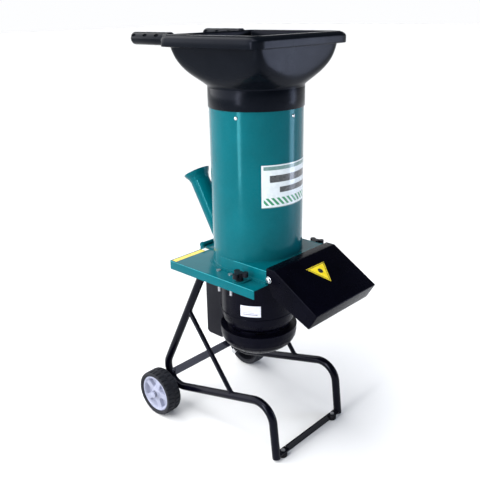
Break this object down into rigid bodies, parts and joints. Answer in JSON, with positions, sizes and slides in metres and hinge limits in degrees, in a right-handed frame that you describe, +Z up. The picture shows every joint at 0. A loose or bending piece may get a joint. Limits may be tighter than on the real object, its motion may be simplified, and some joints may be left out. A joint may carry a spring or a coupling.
{
  "type": "wood chipper",
  "caption": "Upright garden chipper: square hopper on a round tower, slanted branch pipe, side discharge with deflector, vertical motor, bent tube frame with two wheels.",
  "frame": {"origin": "on the floor under the tower axis; the middle of the bounding box is 7 mm behind it", "axes": "+X towards the discharge, +Y across to the left wheel, +Z up along the tower axis"},
  "size_m": [0.682, 0.501, 1.222],
  "materials": {
    "frame_paint": "satin black powder coat",
    "zinc": "bright zinc plate",
    "black_plastic": "fine grained black plastic",
    "hub_plastic": "light grey plastic",
    "tyre_rubber": "black rubber",
    "foot_rubber": "black rubber",
    "teal_paint": "glossy teal paint",
    "strip_print": "printed yellow strip",
    "label_print": "printed white and green film",
    "sticker_print": "printed yellow film",
    "rating_print": "printed white film",
    "hopper_plastic": "smooth black moulded plastic",
    "blade_steel": "ground tool steel",
    "deflector_paint": "glossy black paint",
    "rotor_steel": "turned steel",
    "core_iron": "machined",
    "winding": "varnished copper windings on a laminated core",
    "motor_casting": "die cast aluminium",
    "cover_paint": "satin black paint",
    "can_metal": "drawn aluminium cans",
    "green_button": "moulded green plastic",
    "red_button": "moulded red plastic"
  },
  "bodies": {
    "base": {"side_frame_right": "frame_paint", "side_frame_left": "frame_paint", "braces": "frame_paint", "rear_crossbar": "frame_paint", "front_bar": "frame_paint", "axle_brackets": "frame_paint", "stub_axles": "zinc", "axle_caps": "hub_plastic", "rubber_feet": "foot_rubber", "foot_bolts": "zinc", "leg_plugs": "black_plastic", "deck": "teal_paint", "deck_bolts": "zinc", "hinge_bracket": "teal_paint", "hinge_pin": "zinc", "clamp_nuts": "zinc", "deck_label": "strip_print", "motor_flange": "motor_casting", "motor_bolts": "zinc", "motor_frame": "motor_casting", "stator": "winding", "end_shield": "motor_casting", "bearings": "rotor_steel", "motor_cover": "cover_paint", "fan_cover": "cover_paint", "motor_label": "rating_print", "switch_box": "black_plastic", "box_cover": "black_plastic", "capacitor": "can_metal", "switch_body": "black_plastic", "power_inlet": "black_plastic"},
    "tower": {"tower_tube": "teal_paint", "tower_flange": "teal_paint", "outlet_duct": "teal_paint", "branch_pipe": "teal_paint", "hopper": "hopper_plastic", "handle_grips": "hopper_plastic", "tower_screws": "zinc", "tower_label": "label_print", "counter_blade": "blade_steel"},
    "deflector_body": {"deflector": "deflector_paint", "deflector_bolts": "zinc", "warning_label": "sticker_print"},
    "cutting_rotor": {"rotor_disc": "rotor_steel", "paddles": "rotor_steel", "knife_bar": "blade_steel", "rotor_bolt": "rotor_steel", "motor_shaft": "rotor_steel", "rotor_core": "core_iron", "cooling_fan": "black_plastic"},
    "wheel_right": {"wheel_hub_right": "hub_plastic", "tyre_right": "tyre_rubber"},
    "wheel_left": {"wheel_hub_left": "hub_plastic", "tyre_left": "tyre_rubber"},
    "clamp_right": {"star_knob_right": "black_plastic", "knob_stud_right": "zinc"},
    "clamp_left": {"star_knob_left": "black_plastic", "knob_stud_left": "zinc"},
    "start": {"button_start": "green_button"},
    "stop": {"button_stop": "red_button"}
  },
  "joints": [
    {"name": "tower_tilt", "type": "hinge", "parent": "base", "child": "tower", "pos_m": [-0.194, 0, 0.566], "axis": [0, -1, 0], "range_deg": [0, 85]},
    {"name": "deflector_swing", "type": "hinge", "parent": "tower", "child": "deflector_body", "pos_m": [0.1665, 0, 0.5724], "axis": [0, -1, 0], "range_deg": [0, 25]},
    {"name": "rotor_spin", "type": "hinge", "parent": "base", "child": "cutting_rotor", "pos_m": [0, 0, 0.566], "axis": [0, 0, 1], "continuous": true},
    {"name": "wheel_right_spin", "type": "hinge", "parent": "base", "child": "wheel_right", "pos_m": [-0.251, -0.218, 0.076], "axis": [0, 1, 0], "continuous": true},
    {"name": "wheel_left_spin", "type": "hinge", "parent": "base", "child": "wheel_left", "pos_m": [-0.251, 0.218, 0.076], "axis": [0, 1, 0], "continuous": true},
    {"name": "clamp_right_turn", "type": "hinge", "parent": "tower", "child": "clamp_right", "pos_m": [0.088, -0.176, 0.575], "axis": [0, 0, 1], "continuous": true},
    {"name": "clamp_left_turn", "type": "hinge", "parent": "tower", "child": "clamp_left", "pos_m": [0.088, 0.176, 0.575], "axis": [0, 0, 1], "continuous": true},
    {"name": "start_press", "type": "slide", "parent": "base", "child": "start", "axis": [1, 0, 0], "range_m": [0, 0.004], "stiffness_N_per_m": 200},
    {"name": "stop_press", "type": "slide", "parent": "base", "child": "stop", "axis": [1, 0, 0], "range_m": [0, 0.004], "stiffness_N_per_m": 200}
  ]
}
